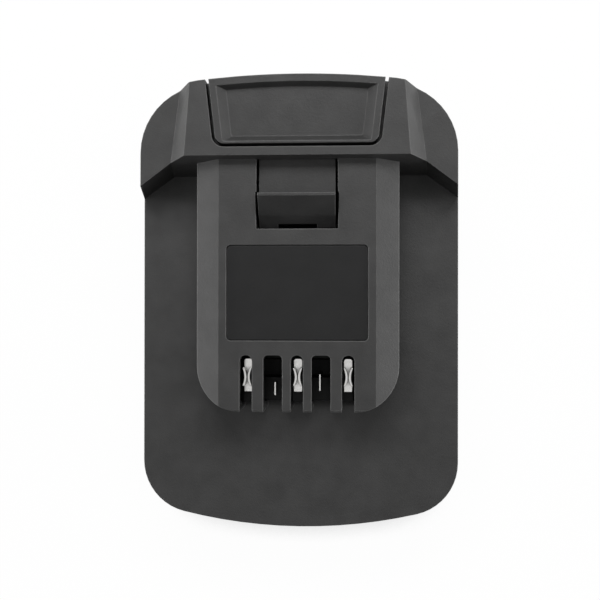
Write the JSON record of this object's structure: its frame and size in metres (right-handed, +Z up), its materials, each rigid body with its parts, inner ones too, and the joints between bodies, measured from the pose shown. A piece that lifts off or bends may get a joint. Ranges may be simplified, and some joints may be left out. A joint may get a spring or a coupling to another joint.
{
  "type": "tool battery adapter",
  "caption": "Slide-on adapter plate that carries a cordless battery pack below and a slotted tool rail with release button above.",
  "frame": {"origin": "middle of the bounding box in X and Y, on the rest face of the battery side (Z = 0)", "axes": "+X across to the right of the picture, +Y along the part to the release button, +Z up to the tool side"},
  "size_m": [0.075, 0.1042, 0.0355],
  "materials": {
    "housing_plastic": "fine matte mould texture",
    "button_plastic": "fine matte mould texture",
    "carrier_plastic": "matte",
    "label_film": "smooth satin film, blank",
    "contact_tin": "tinned",
    "spring_steel": "bright wire",
    "screw_steel": "zinc plated",
    "board_laminate": "solder mask",
    "chip_plastic": "moulded epoxy",
    "can_aluminium": "drawn can",
    "lead_red": "soft insulation",
    "lead_black": "soft insulation",
    "lead_yellow": "soft insulation"
  },
  "bodies": {
    "housing": {"upper_housing": "housing_plastic", "lower_housing": "housing_plastic", "button_spring_left": "spring_steel", "button_spring_right": "spring_steel", "contact_positive": "contact_tin", "contact_signal": "contact_tin", "contact_negative": "contact_tin", "signal_pin_left": "contact_tin", "signal_pin_right": "contact_tin", "contact_carrier": "carrier_plastic", "blade_carrier": "carrier_plastic", "blade_positive": "contact_tin", "blade_negative": "contact_tin", "blade_signal": "contact_tin", "circuit_board": "board_laminate", "power_transistor": "chip_plastic", "control_chip": "chip_plastic", "capacitor": "can_aluminium", "chip_resistors": "chip_plastic", "lead_positive": "lead_red", "lead_negative": "lead_black", "lead_signal": "lead_yellow", "housing_screws": "screw_steel", "board_screws": "screw_steel", "carrier_screws": "screw_steel", "label_film": "label_film"},
    "button": {"release_button": "button_plastic"}
  },
  "joints": [
    {"name": "latch_press", "type": "slide", "parent": "housing", "child": "button", "axis": [0, 0, -1], "range_m": [0, 0.0042], "stiffness_N_per_m": 700, "springref_m": -0.003, "deforming": ["button_spring_left", "button_spring_right"]}
  ]
}
